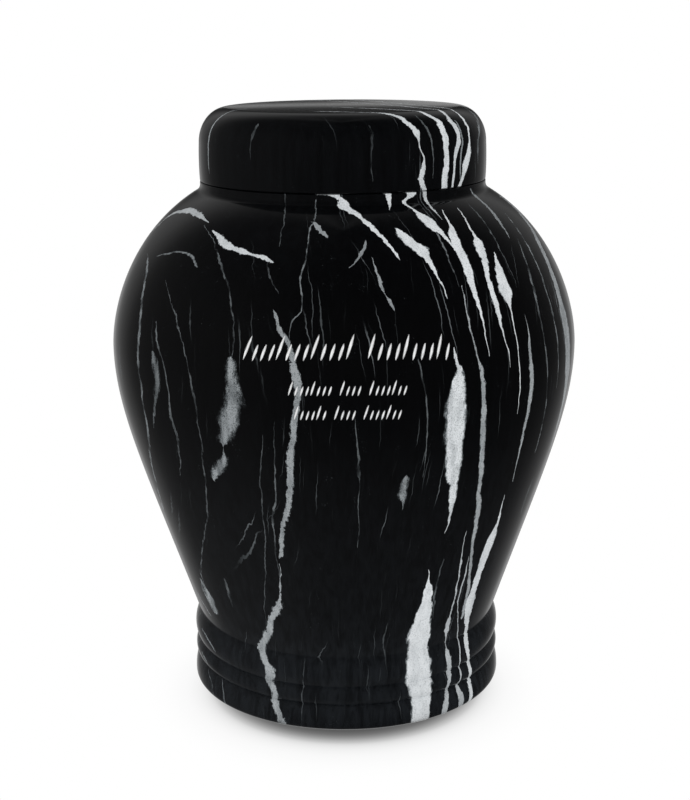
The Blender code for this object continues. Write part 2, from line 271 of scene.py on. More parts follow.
RIGHT_BELLY_VEINS = (
    Vein(40, 0.72, PLAIN, (
        (185, 47.8), (178, 47.5, 0.3), (171, 47.2, 0.8), (158, 47.7, 1.2), (150, 47.5, 1.2),
        (138, 47.5, 0.8), (127, 47.8, 0.4), (112, 48.2),
    ), THROUGH),
    Vein(10, 0.72, PLAIN, (
        (200, 30.6), (187, 30.3, 0.3), (173, 30.9, 0.4), (167, 31.7, 0.8), (154, 32.7, 1), (146, 33.2, 1.1),
        (132, 33.8, 1.2), (118, 35.2, 1.2), (103, 36.8, 1.1), (89, 38.5, 0.9), (74, 40.8, 0.8),
        (59, 43.6, 0.8), (50, 44.3, 0.7), (44, 44.6),
    ), THROUGH),
    Vein(10, 0.96, PLAIN, (
        (177, 24.8), (171, 25.2, 0.7), (167, 25.7, 1.5), (162, 25.4, 2.9), (156, 25.1, 3.8),
        (148, 25.3, 4.3), (139, 25.5, 4.1), (130, 26, 3.7), (122, 26.4, 3), (117, 27.2, 1.9),
        (111, 27.8, 1.5), (105, 28.1, 0.8), (95, 27.9),
    ), THROUGH),
    Vein(30, 0.94, SHARP, (
        (106, 46.5), (96, 47.1, 0.5), (90, 46.9, 1.1), (85, 46.6, 2.3), (78, 46.4, 2.8), (71, 46.3, 2.2),
        (63, 46.4, 1.9), (53, 47, 2.9), (43, 48.3, 1.9), (35, 50.2, 1), (29, 49.5, 1.4), (21, 51.7, 1),
        (13, 51.9, 1), (5, 51.7, 1.2), (0, 49.8, 0.8),
    ), THROUGH),
    Vein(20, 0.80, SHARP, (
        (93, 34.8), (78, 36.2, 0.3), (65, 37.2, 0.35), (54, 37.9, 0.4), (48, 38, 0.6), (45, 38.2, 1.4),
        (40, 38.7, 0.8), (33, 39.5, 0.2), (30, 39.1, 1.1), (24, 39.4, 1.2), (19, 39.9, 1), (12, 39.3, 0.9),
        (7, 37.9, 1.4), (0, 37.4, 1.1),
    )),
    Vein(30, 0.80, SHARP, (
        (79, 38.8), (69, 39.5, 0.35), (60, 39.5, 0.5), (52, 40.8, 0.2), (31, 45.3, 0.3), (24, 45.1, 0.4),
        (15, 45.7, 0.4), (10, 45, 1.3), (6, 46, 1.9), (0, 45.2, 0.8),
    )),
    Vein(16, 0.97, SHARP, (
        (77, 24.9), (71, 25.5, 0.6), (66, 26.2, 1.8), (61, 26.4, 2.5), (56, 26.4, 3.5), (50, 26.2, 4.2),
        (45, 26.1, 4.9), (38, 26.5, 5.3), (30, 26.4, 5.5), (20, 27, 5.6), (16, 26.9, 5.1), (10, 27.7, 4.6),
        (0, 27.5, 4.6),
    ), THROUGH),
    Vein(18, 0.42, THREAD, ((81, 29), (72, 28.7, 0.4), (65, 28.9, 0.5), (50, 30.5))),
    Vein(60, 0.35, FLUFFY, ((108, 61.8, 0.2), (99, 61.2, 1), (90, 61.7, 0.2))),
)

LEFT_VEINS = (
    Vein(22, 0.68, PLAIN, (
        (193, -16.2), (186, -14.3, 0.7), (182, -12.7, 0.8), (176, -11.6, 1), (171, -10.9, 1.1),
        (163, -10.2, 1.2), (155, -10.8, 1.1), (142, -11.7, 1.1), (124, -13, 1.2), (112, -14.4, 1),
        (99, -16.1, 0.9), (90, -17.4, 0.6), (85, -18.2),
    ), THROUGH),
    Vein(26, 0.75, PLAIN, (
        (82, -18.6), (66, -21, 0.2), (62, -21.6, 0.5), (58, -22.1, 1), (51, -25.3, 1.1), (44, -28, 1.2),
        (36, -32.2, 1.2), (30, -30.7, 1.1), (26, -28, 1.4), (19, -28.9, 1.3), (15, -26.6, 1),
        (8, -25.7, 1.2), (0, -25.4, 1),
    ), THROUGH),
    Vein(0, 0.46, THREAD, (
        (149, -15.9), (141, -15.9, 0.25), (123, -16.9, 0.3), (104, -18.5, 0.35), (85, -19.4, 0.3),
        (70, -20),
    )),
    Vein(0, 0.36, THREAD, (
        (143, -18.4), (123, -20.3, 0.2), (98, -21.8, 0.25), (72, -24.3, 0.2), (48, -28.5),
    )),
    Vein(-10, 0.55, THREAD, (
        (232.5, -9.6, 0.25), (229.5, -9.9, 0.25), (225, -9.2, 0.3), (222.5, -10.3, 0.3),
        (212.5, -10.2, 0.3), (202, -10.6, 0.3), (194, -10.2, 0.25), (191.5, -10.8, 0.3), (188, -12.1, 0.2),
        (180, -12.4),
    )),
    Vein(14, 0.40, THREAD, (
        (221, -47.5), (212, -36.8, 0.25), (206, -32.8, 0.35), (200, -29.2, 0.4), (196, -27.8, 0.3),
        (184, -25.9, 0.2), (174, -25.5),
    )),
    Vein(28, 0.36, THREAD, ((211, -20.6), (206, -18.8, 0.25), (199, -16))),
    Vein(30, 0.66, FLUFFY, (
        (174, -25.7, 0.3), (171, -25.6, 1), (162, -25, 1.3), (156, -25.1, 1.7), (148, -26.5, 1.9),
        (143, -27.6, 1.4), (138, -28.5, 1.2), (135.5, -28.8, 0.05), (131, -29.2, 0.7), (127, -30.3, 1.2),
        (122, -32.2, 0.7), (119, -32.5, 0.05),
    ), THROUGH),
    Vein(-12, 0.56, THREAD, (
        (206, -69.5, 0.2), (199, -62.5, 0.7), (189, -59.3, 0.6), (178, -57, 0.7), (165, -56.1, 0.6),
        (153, -54.9, 0.6), (139, -55.6, 0.7), (126, -58, 0.7), (102, -63.8, 0.4), (76, -68.5),
    )),
    Vein(0, 0.40, THREAD, (
        (199, -51.5), (191, -45.6, 0.25), (184, -41.9, 0.3), (174, -38.9, 0.2), (167, -37.2, 0.25),
        (158, -36.1, 0.4), (148, -35.3, 0.3), (130, -35.2, 0.3), (108, -38.3, 0.35), (86, -44.6, 0.3),
        (67, -52.7, 0.35), (61, -56),
    )),
    Vein(0, 0.72, FLUFFY, (
        (61, -57, 0.2), (57, -56.2, 0.9), (53, -54.8, 1.6), (48, -53.8, 1.5), (44, -53.1, 0.2),
    )),
    Vein(0, 0.46, THREAD, (
        (183, -50.2), (172, -46.9, 0.35), (165, -44.7, 0.3), (152, -43.5, 0.3), (142, -43.3, 0.6),
        (134, -43.2, 0.4), (117, -45.8),
    )),
    Vein(0, 0.50, FLUFFY, (
        (171, -49.4, 0.2), (163, -48.1, 1.1), (156, -48, 1.1), (146, -50.1, 0.4), (137, -51.6),
    )),
    Vein(0, 0.45, THREAD, ((68, -40.5), (63, -40.6, 0.6), (57, -40.8, 0.6), (53, -41))),
    Vein(-30, 0.60, THREAD, ((67, -54), (59, -55.5, 0.35), (54, -56.5, 0.5), (50, -56))),
    Vein(-30, 0.62, PLAIN, ((50, -66), (46.5, -64, 0.5), (43.5, -61.5, 0.6), (40, -58.5))),
    Vein(-30, 0.52, THREAD, (
        (10, -66), (8.5, -63, 0.4), (6.5, -60, 0.5), (3.5, -59.5, 0.3), (0, -59, 0.2),
    )),
    Vein(-30, 0.55, THREAD, ((11, -54.5), (7, -52, 0.35), (2.5, -51, 0.6), (0, -50.5, 0.3))),
)

FRONT_VEINS = (
    Vein(20, 0.66, FLUFFY, (
        (125, 14.3), (120, 13.9, 1.3), (116, 13.6, 1.3), (112, 14, 0.4), (109, 14, 0.05),
    )),
    Vein(0, 0.40, THREAD, (
        (151, 1.9), (138, 2.7, 0.25), (131, 2.6, 0.4), (128, 2.5, 0.7), (124, 2.8, 0.2), (115, 3.1, 0.2),
        (92, 3),
    )),
    Vein(0, 0.42, THREAD, ((174, 16.5), (164, 17.5, 0.45), (158, 18, 0.3), (140, 18.7, 0.2), (124, 19))),
    Vein(10, 0.30, THREAD, ((52, 14.1), (42, 13.4, 0.3), (36, 13.7, 0.3), (25, 14.6))),
    Vein(-16, 0.34, THREAD, ((33, -14.9, 0.2), (18, -15.8, 0.25), (0, -16.3, 0.2))),
    Vein(-40, 0.60, SHARP, ((218, 5.8), (215, 5.2, 0.4), (212, 3.9, 0.3), (209, 1.8))),
    Vein(45, 0.66, PLAIN, (
        (212, 7.2), (207, 8.4, 0.4), (203, 9.2, 0.7), (200, 9.6, 0.3), (198.6, 10.1), (197, 10.9, 0.5),
        (193, 12.1, 0.2),
    )),
    Vein(-4, 0.36, THREAD, ((236, -22.4, 0.3), (224, -18.9, 0.25), (216, -18.2))),
    Vein(50, 0.66, SHARP, ((224.5, -8.8, 0.3), (222, -6.6, 0.8), (219.5, -4, 0.2))),
)

BACK_VEINS = (
    Vein(30, 0.75, PLAIN, (
        (229, 176), (214, 171, 0.8), (196, 168, 1.2), (182, 166.5, 0.9), (176, 166),
    ), FAR),
    Vein(120, 0.85, SHARP, (
        (227, 113), (214, 110, 1.1), (204, 108, 1.9), (192, 106.5, 1.2), (176, 105.8, 0.4), (152, 105),
    )),
    Vein(128, 0.50, THREAD, (
        (216, 124), (190, 121, 0.4), (160, 120, 0.5), (130, 121, 0.4), (100, 123, 0.3), (78, 124),
    )),
    Vein(140, 0.64, FLUFFY, (
        (152, 137, 0.2), (142, 136, 1.1), (128, 136, 1.6), (116, 137, 0.9), (107, 138),
    )),
    Vein(146, 0.90, SHARP, (
        (97, 141), (80, 142, 1), (62, 143, 1.9), (44, 144, 1.4), (30, 145, 0.9), (14, 144.6, 1.1),
        (0, 144, 0.9),
    )),
    Vein(150, 0.45, THREAD, (
        (229, 150, 0.2), (205, 147, 0.4), (180, 146, 0.4), (150, 147, 0.3), (116, 149),
    )),
    Vein(-130, 0.55, THREAD, (
        (222, -136), (200, -132, 0.5), (176, -130, 0.6), (150, -129, 0.5), (126, -130, 0.4), (94, -133),
    )),
    Vein(-112, 0.78, PLAIN, (
        (120, -112), (104, -111, 0.9), (88, -112, 1.3), (70, -114, 0.8), (52, -117, 1), (34, -120, 0.8),
        (16, -119, 0.7), (0, -120, 0.6),
    )),
    Vein(-95, 0.42, THREAD, ((212, -98), (180, -94, 0.4), (150, -92, 0.4), (120, -93, 0.3), (94, -95))),
    Vein(170, 0.38, THREAD, ((144, 184), (110, 183, 0.3), (80, 182, 0.3), (50, 181, 0.2), (26, 180))),
    Vein(110, 0.42, THREAD, (
        (122, 98), (95, 97, 0.4), (70, 98, 0.3), (40, 100, 0.4), (12, 101, 0.3), (0, 101, 0.2),
    )),
    Vein(95, 0.68, PLAIN, ((184, 92), (170, 91, 0.7), (152, 90, 1), (134, 90.5, 0.6), (116, 91))),
    Vein(-150, 0.88, SHARP, (
        (231, -146, 0.3), (221, -143, 1), (212, -141, 1.6), (200, -139.5, 0.9), (186, -139),
    )),
)

BODY_BANDS = (
    Band(0.80, SHARP, (
        (-84, 213, 0.3), (-80.1, 216.8, 0.5), (-78, 220, 0.7), (-72.2, 223.1, 0.7), (-65.5, 224.4, 0.9),
        (-57.4, 224.4, 0.9), (-51.5, 223.6, 0.5), (-47, 222.2),
    )),
    Band(0.90, SHARP, (
        (-43, 219.6, 0.2), (-39.1, 217.5, 0.9), (-35.5, 215.6, 1.5), (-32, 214.4, 1), (-28.3, 213.3, 0.9),
        (-26, 212.5, 0.4), (-24.3, 212.1, 0.5), (-21.1, 211.2, 0.7), (-19, 210),
    )),
    Band(0.55, THREAD, (
        (-61.5, 206.8), (-56.2, 208.9, 0.3), (-51.1, 210.3, 0.3), (-46.5, 209.8, 0.5), (-43.5, 208, 0.6),
        (-41, 206.2),
    )),
    Band(0.90, SHARP, (
        (-11.6, 235.4, 0.2), (-9.1, 235.6, 0.9), (-6.5, 235.4, 1), (-3, 234.6, 1.4), (-1, 233.8, 0.4),
    )),
    Band(0.54, PLAIN, ((-70, 29, 0.2), (-63, 27.5, 0.4), (-58.5, 25.5, 0.5), (-56.5, 23.5))),
    Band(0.50, PLAIN, ((-71, 17), (-66.5, 15.5, 0.5), (-63.5, 14, 0.2))),
)

LID_VEINS = (
    Vein(70, 0.92, SHARP, (
        (266.9, 15, 0.5), (266, 19.9, 0.7), (265, 23, 1.1), (262, 26.4, 1.1), (260, 28.4, 1),
        (257.6, 29, 0.8), (255.5, 29.2, 0.4), (252, 29.6, 0.2), (248.5, 31.2, 0.3), (245, 30.8, 0.7),
        (240, 29.9, 1), (234, 28.9, 1),
    )),
    Vein(54, 0.96, SHARP, (
        (266.9, 38, 0.6), (264, 40.1, 0.9), (262, 41.9, 1.2), (258, 42.4, 1.4), (251, 42.4, 1.7),
        (244, 42.4, 1.7), (240, 41.9, 1.9), (234, 41.3, 1.3),
    )),
    Vein(34, 0.90, SHARP, (
        (266.9, 49.6, 0.6), (263, 48.8, 1), (260, 50, 1.3), (256, 50.4, 1.1), (252, 49.4, 1.5),
        (249, 48.3, 1.2), (246.5, 47.7, 0.7), (241, 47.2, 0.6), (234, 47.8, 0.7),
    ), THROUGH),
    Vein(30, 0.96, SHARP, (
        (266.9, 59, 0.4), (264, 58.7, 0.7), (260, 58.4, 0.6), (255, 57.6, 0.5), (250, 57.4, 1.4),
        (246, 55.9, 2), (240, 53.6, 1.3), (234, 53.4, 1.2),
    ), THROUGH),
    Vein(10, 0.55, THREAD, (
        (266.9, 80, 0.4), (265, 77.3, 0.7), (261, 73, 0.7), (257, 69.9, 0.6), (252, 65.5, 0.5),
        (243, 64.9, 0.2),
    )),
    Vein(-20, 0.66, PLAIN, (
        (266.9, -56, 0.2), (264, -62.7, 0.5), (261, -63.9, 0.6), (255, -64.4, 0.6), (249, -64.6, 0.5),
        (240, -64.2),
    )),
    Vein(44, 0.62, PLAIN, (
        (262, 51.5, 0.2), (256, 52.6, 0.6), (250, 52.2, 0.5), (245, 51.6, 0.4), (238, 51.4),
    )),
    Vein(50, 0.40, THREAD, ((265, 33, 0.3), (261, 34.6, 0.4), (252, 35.2, 0.3), (240, 35.4))),
    Vein(-24, 0.36, THREAD, ((262, -35.5, 0.2), (259, -35.8, 0.5), (254, -36, 0.2), (248, -36.2))),
    Vein(0, 0.30, THREAD, ((262, 10.8, 0.2), (256, 11.2, 0.4), (249, 10.9, 0.3), (240, 11.3))),
    Vein(140, 0.70, PLAIN, (
        (266.9, 128, 0.3), (261, 133, 0.6), (252, 135, 0.8), (243, 134.5, 0.9), (234, 135, 0.6),
    )),
    Vein(100, 0.45, THREAD, ((265, 104, 0.2), (258, 102, 0.4), (248, 101.5, 0.4), (238, 102))),
    Vein(-130, 0.55, THREAD, (
        (266.9, -120, 0.2), (260, -126, 0.5), (250, -128, 0.5), (240, -128, 0.3), (234, -129, 0.2),
    )),
)


# Curves for outlines


def point(radius, height):
    return Vector((radius, height))


def cubic(start, start_handle, end_handle, end, steps):
    """A cubic curve, with both its ends."""
    curve = []
    for step in range(steps + 1):
        t = step / steps
        s = 1 - t
        curve.append(s**3 * start + 3 * s * s * t * start_handle + 3 * s * t * t * end_handle + t**3 * end)
    return curve


def rounded(before, corner, after, steps):
    """A curve from before to after that cuts the corner and touches both its sides."""
    return cubic(before, before.lerp(corner, 2 / 3), after.lerp(corner, 2 / 3), after, steps)


def eased(radius, height, before, after):
    """A small round on the corner at a radius and height, from one offset to another."""
    return rounded(
        point(radius + before[0], height + before[1]),
        point(radius, height),
        point(radius + after[0], height + after[1]),
        EDGE_STEPS,
    )


def straight(start, end, steps):
    """Points between two ends, which are left out."""
    return [start.lerp(end, step / steps) for step in range(1, steps)]


def bead(start, end, rise, steps):
    """A circular arc from start up to end that stands rise proud of the line between them."""
    along = (end - start).normalized()
    outward = point(along.y, -along.x)
    half = (end - start).length / 2
    radius = (half * half + rise * rise) / (2 * rise)
    half_angle = math.asin(half / radius)
    centre = (start + end) / 2 + outward * (rise - radius)
    arc = []
    for step in range(steps + 1):
        angle = half_angle * (2 * step / steps - 1)
        arc.append(centre + radius * (outward * math.cos(angle) + along * math.sin(angle)))
    return arc


def inset(outline, distance):
    """An outline that runs upwards, moved square to itself towards the axis."""
    moved = []
    for before, here, after in zip(outline[:1] + outline, outline, outline[1:] + outline[-1:]):
        along = (after - before).normalized()
        moved.append(here - distance * point(along.y, -along.x))
    return moved


# Outlines, as in the model's source but in finer steps


def base_outline():
    """Foot band and two beads, from the underside to the waist."""
    ground_edge = eased(FOOT_RADIUS, 0, (-FOOT_EDGE, 0), (0, FOOT_EDGE))
    lower_groove = point(BEAD_RADIUS - GROOVE_DEPTH, LOWER_GROOVE)
    upper_groove = point(BEAD_RADIUS - GROOVE_DEPTH, UPPER_GROOVE)
    waist = point(WAIST_RADIUS, WAIST)
    band_top = point(FOOT_RADIUS, LOWER_GROOVE - FOOT_SHOULDER)
    foot_band = rounded(ground_edge[-1], band_top, lower_groove, BEAD_STEPS)
    lower_bead = bead(lower_groove, upper_groove, GROOVE_DEPTH, BEAD_STEPS)
    upper_rise = BEAD_RADIUS - (upper_groove.x + waist.x) / 2
    upper_bead = bead(upper_groove, waist, upper_rise, BEAD_STEPS)
    return ground_edge + foot_band[1:] + lower_bead[1:] + upper_bead[1:]


def swell_outline(steps):
    """From the waist out to the widest line."""
    swell = BELLY_RADIUS - WAIST_RADIUS
    return cubic(
        point(WAIST_RADIUS, WAIST),
        point(WAIST_RADIUS + SWELL_LOWER_PULL[0] * swell, WAIST + SWELL_LOWER_PULL[1] * SWELL_HEIGHT),
        point(BELLY_RADIUS, BELLY - SWELL_UPPER_PULL * SWELL_HEIGHT),
        point(BELLY_RADIUS, BELLY),
        steps,
    )


def shoulder_outline(steps):
    """From the widest line in to the corner under the neck band."""
    draw_in = BELLY_RADIUS - NECK_RADIUS
    return cubic(
        point(BELLY_RADIUS, BELLY),
        point(BELLY_RADIUS, BELLY + SHOULDER_LOWER_PULL * SHOULDER_HEIGHT),
        point(
            NECK_RADIUS + SHOULDER_UPPER_PULL[0] * draw_in,
            NECK_CORNER - SHOULDER_UPPER_PULL[1] * SHOULDER_HEIGHT,
        ),
        point(NECK_RADIUS, NECK_CORNER),
        steps,
    )


def belly_outline():
    """The swell and the shoulder in one."""
    return swell_outline(SWELL_STEPS)[:-1] + shoulder_outline(SHOULDER_STEPS)


def neck_outline(shoulder):
    """The cove and neck band above the shoulder, over the seat and up the collar."""
    corner = shoulder[-1]
    downhill = (shoulder[-2] - corner).normalized()
    cove = rounded(corner + COVE * downhill, corner, corner + point(0, COVE), EDGE_STEPS)
    seat_edge = eased(NECK_RADIUS, SEAT, (0, -SEAT_EDGE), (-SEAT_EDGE, 0))
    collar_edge = eased(COLLAR_RADIUS, COLLAR_TOP, (0, -COLLAR_EDGE), (-COLLAR_EDGE, 0))
    return cove + seat_edge + [point(COLLAR_RADIUS, SEAT)] + collar_edge


def hollow_outline():
    """The hollow, from the middle of its floor up its wall and through the mouth."""
    shoulder = shoulder_outline(SHOULDER_STEPS // 2)
    wall = inset(swell_outline(SWELL_STEPS // 2)[:-1] + shoulder, WALL)
    flare = (wall[1] - wall[0]).normalized()
    floor_corner = wall[0] - flare * ((wall[0].y - FLOOR) / flare.y)
    floor_edge = rounded(
        floor_corner - point(FLOOR_FILLET, 0),
        floor_corner,
        floor_corner + FLOOR_FILLET * flare,
        EDGE_STEPS,
    )
    inward = (wall[-1] - wall[-2]).normalized()
    throat_corner = wall[-1] + inward * ((wall[-1].x - MOUTH_RADIUS) / -inward.x)
    throat = rounded(
        throat_corner - THROAT_FILLET * inward,
        throat_corner,
        throat_corner + point(0, THROAT_FILLET),
        EDGE_STEPS,
    )
    mouth_edge = eased(MOUTH_RADIUS, COLLAR_TOP, (0, -COLLAR_EDGE), (COLLAR_EDGE, 0))
    between = [spot for spot in wall if floor_edge[-1].y < spot.y < throat[0].y]
    floor = [point(0, FLOOR)] + straight(point(0, FLOOR), floor_edge[0], SIDE_STEPS)
    return floor + floor_edge + between + throat + mouth_edge


def body_outline():
    """The whole section of the body: up inside the hollow, over the collar and down outside."""
    shoulder = shoulder_outline(SHOULDER_STEPS)
    above_cove = [spot for spot in shoulder if (spot - shoulder[-1]).length > COVE]
    outside = base_outline() + swell_outline(SWELL_STEPS)[1:-1] + above_cove + neck_outline(shoulder)
    underside = straight(outside[0], point(0, 0), SIDE_STEPS)
    return hollow_outline() + outside[::-1] + underside + [point(0, 0)]


def lid_outline():
    """The whole section of the cap: down outside, in along its rim and up its bore."""
    rim_radius = NECK_RADIUS - LID_CORNER_WIDTH
    rim = point(rim_radius, LID_TOP - LID_CROWN)
    opposite_rim = point(-rim_radius, LID_TOP - LID_CROWN)
    crown = bead(rim, opposite_rim, LID_CROWN, 2 * CORNER_STEPS)
    top = crown[CORNER_STEPS::-1]
    corner_height = LID_CORNER_HEIGHT - LID_CROWN
    corner = []
    for step in range(1, CORNER_STEPS + 1):
        angle = math.radians(90) * step / CORNER_STEPS
        out = rim_radius + LID_CORNER_WIDTH * math.sin(angle)
        up = LID_TOP - LID_CORNER_HEIGHT + corner_height * math.cos(angle)
        corner.append(point(out, up))
    outer_edge = eased(NECK_RADIUS, LID_BOTTOM, (0, SEAT_EDGE), (-SEAT_EDGE, 0))
    side = bead(outer_edge[0], corner[-1], LID_BULGE, SIDE_STEPS)[::-1]
    outside = top + corner + side[1:-1] + outer_edge
    bore_edge = [point(LID_BORE + SEAT_EDGE, LID_BOTTOM), point(LID_BORE, LID_BOTTOM + SEAT_EDGE)]
    ceiling_edge = eased(LID_BORE, LID_CEILING, (0, -CEILING_FILLET), (-CEILING_FILLET, 0))
    middle = point(0, LID_CEILING)
    ceiling = straight(ceiling_edge[-1], middle, SIDE_STEPS)
    bore = straight(bore_edge[-1], ceiling_edge[0], SIDE_STEPS)
    return outside + bore_edge + bore + ceiling_edge + ceiling + [middle]


def outer_profile():
    """Outer radius against height, foot to lid top, as two arrays for looking up."""
    lid_side = [spot for spot in lid_outline() if spot.x > LID_BORE + SEAT_EDGE][::-1]
    outline = base_outline() + belly_outline()[1:] + lid_side
    outline.sort(key=lambda spot: spot.y)
    return np.array([spot.y for spot in outline]), np.array([spot.x for spot in outline])


# Meshes


def in_scene(name, data):
    """A new object in the scene."""
    piece = bpy.data.objects.new(name, data)
    bpy.context.scene.collection.objects.link(piece)
    return piece


def with_modifiers(piece):
    """A new mesh of a piece as its modifiers make it."""
    bpy.context.view_layer.update()
    evaluated = piece.evaluated_get(bpy.context.evaluated_depsgraph_get())
    return bpy.data.meshes.new_from_object(evaluated)


def turned(name, outline):
    """A solid of revolution. Its outline runs down on the outer side."""
    profile = bpy.data.meshes.new(name + "_profile")
    vertices = [(spot.x, 0, spot.y) for spot in outline]
    edges = [(index, index + 1) for index in range(len(outline) - 1)]
    profile.from_pydata(vertices, edges, [])
    lathe = in_scene(name + "_lathe", profile)
    screw = lathe.modifiers.new("Lathe", "SCREW")
    screw.axis = "Z"
    screw.angle = math.radians(360)
    screw.steps = SEGMENTS
    screw.render_steps = SEGMENTS
    screw.use_merge_vertices = True
    screw.merge_threshold = MERGE
    mesh = with_modifiers(lathe)
    mesh.name = name
    mesh.shade_smooth()
    mesh.set_sharp_from_angle(angle=SMOOTH_BELOW)
    bpy.data.objects.remove(lathe, do_unlink=True)
    bpy.data.meshes.remove(profile)
    return in_scene(name, mesh)


def belly_surface(height):
    """Radius of the belly at a height, and the direction up along its surface."""
    outline = belly_outline()
    low, high = next(pair for pair in zip(outline, outline[1:]) if height <= pair[1].y)
    share = (height - low.y) / (high.y - low.y)
    return low.lerp(high, share).x, (high - low).normalized()


def add_cut(cuts, azimuth, foot, cut, tall):
    """One slanted chisel cut, pointed at both ends and V-shaped across."""
    length = cut["height"] * (1 if tall else LOW_CUT)
    front_radius, _ = belly_surface(foot)
    drop = math.tan(READING_ANGLE) * front_radius * (1 - math.cos(azimuth))
    height = foot + length / 2 - drop
    radius, rise = belly_surface(height)
    outward = Vector((math.sin(azimuth), -math.cos(azimuth), 0))
    across = Vector((math.cos(azimuth), math.sin(azimuth), 0))
    upward = outward * rise.x + Vector((0, 0, rise.y))
    along = upward * math.cos(CUT_LEAN) + across * math.sin(CUT_LEAN)
    side = across * math.cos(CUT_LEAN) - upward * math.sin(CUT_LEAN)
    normal = along.cross(side)
    shape = Matrix((side * cut["width"] / 2, normal * CUT_DEPTH, along * length / 2)).transposed()
    place = Matrix.Translation(outward * radius + Vector((0, 0, height)))
    bmesh.ops.create_uvsphere(
        cuts, u_segments=4, v_segments=CUT_STEPS, radius=1, matrix=place @ shape.to_4x4()
    )


def add_row(cuts, foot, groups, cut):
    """A row of cuts in groups, centred on the turn of the rows."""
    offsets = []
    reach = 0
    for count in groups:
        for index in range(count):
            offsets.append((reach, index % TALL_EVERY == 0))
            reach += cut["pitch"]
        reach += cut["gap"]
    middle = (offsets[0][0] + offsets[-1][0]) / 2
    radius, _ = belly_surface(foot)
    for offset, tall in offsets:
        add_cut(cuts, ROW_TURN + (offset - middle) / radius, foot, cut, tall)


def cut_shapes(name):
    """All the cuts of the three rows, each a closed spindle half sunk in the surface."""
    cuts = bmesh.new()
    name_row = BELLY + NAME_ROW_RISE
    add_row(cuts, name_row, NAME_GROUPS, NAME_CUT)
    for index, groups in enumerate(DATE_GROUPS):
        add_row(cuts, name_row - DATE_ROW_DROP - index * DATE_ROW_SPACING, groups, DATE_CUT)
    mesh = bpy.data.meshes.new(name)
    cuts.to_mesh(mesh)
    cuts.free()
    return in_scene(name, mesh)


def combine(piece, other, operation):
    """Apply a Boolean with another object, which is then removed."""
    modifier = piece.modifiers.new("Combine", "BOOLEAN")
    modifier.operation = operation
    modifier.solver = "EXACT"
    modifier.object = other
    old = piece.data
    mesh = with_modifiers(piece)
    piece.modifiers.clear()
    piece.data = mesh
    bpy.data.meshes.remove(old)
    bpy.data.objects.remove(other, do_unlink=True)


def dress(piece, material):
    """Give a piece one material all over."""
    piece.data.materials.clear()
    piece.data.materials.append(material)


def read(items, attribute, width=1, kind=float):
    """One value of every item, in a row of its own where a value has several numbers."""
    values = np.zeros(len(items) * width, kind)
    items.foreach_get(attribute, values)
    return values if width == 1 else values.reshape(-1, width)


def faces_of_corners(mesh):
    """The index of the face that each face corner belongs to."""
    order = np.argsort(read(mesh.polygons, "loop_start", kind=int))
    return np.repeat(order, read(mesh.polygons, "loop_total", kind=int)[order])


def polished_normals(mesh):
    """Give the engraved part of the belly the exact normals of its turned form around the cuts."""
    profile = np.array(belly_outline())
    tangents = np.gradient(profile, axis=0)
    tangents /= np.linalg.norm(tangents, axis=1)[:, None]
    normals = read(mesh.corner_normals, "vector", 3)
    places = read(mesh.vertices, "co", 3)[read(mesh.loops, "vertex_index", kind=int)]
    radius = np.maximum(np.hypot(places[:, 0], places[:, 1]), MERGE)
    height = places[:, 2]
    surface_radius = np.interp(height, profile[:, 1], profile[:, 0])
    slope_out = np.interp(height, profile[:, 1], tangents[:, 1])
    slope_up = -np.interp(height, profile[:, 1], tangents[:, 0])
    exact = np.stack([places[:, 0] / radius * slope_out, places[:, 1] / radius * slope_out, slope_up], axis=1)
    flat = read(mesh.polygon_normals, "vector", 3)[faces_of_corners(mesh)]
    engraved = (height > BELLY - ENGRAVED_BELOW) & (height < BELLY + ENGRAVED_ABOVE)
    on_surface = np.abs(radius - surface_radius) < SURFACE_GAP
    facing = (flat * exact).sum(axis=1) > math.cos(SURFACE_TURN)
    polished = engraved & on_surface & facing
    normals[polished] = exact[polished]
    in_cut = engraved & (radius > BELLY_RADIUS - WALL / 2) & ~polished
    normals[in_cut] = flat[in_cut]
    mesh.normals_split_custom_set(normals.tolist())


def along_outline(section, line, given):
    """How far along an outline each spot of a section lies, where its runs have the given lengths."""
    steps = np.diff(line, axis=0)
    squares = np.maximum((steps**2).sum(axis=1), SHORTEST_RUN**2)
    starts = np.concatenate([[0.0], np.cumsum(given)[:-1]])
    along = np.zeros(len(section))
    for first in range(0, len(section), SPOTS_AT_ONCE):
        batch = slice(first, first + SPOTS_AT_ONCE)
        offsets = section[batch, None, :] - line[:-1]
        shares = np.clip((offsets * steps).sum(axis=2) / squares, 0, 1)
        gaps = np.linalg.norm(offsets - shares[:, :, None] * steps, axis=2)
        nearest = gaps.argmin(axis=1)
        chosen = shares[np.arange(len(nearest)), nearest]
        along[batch] = starts[nearest] + chosen * given[nearest]
    return along


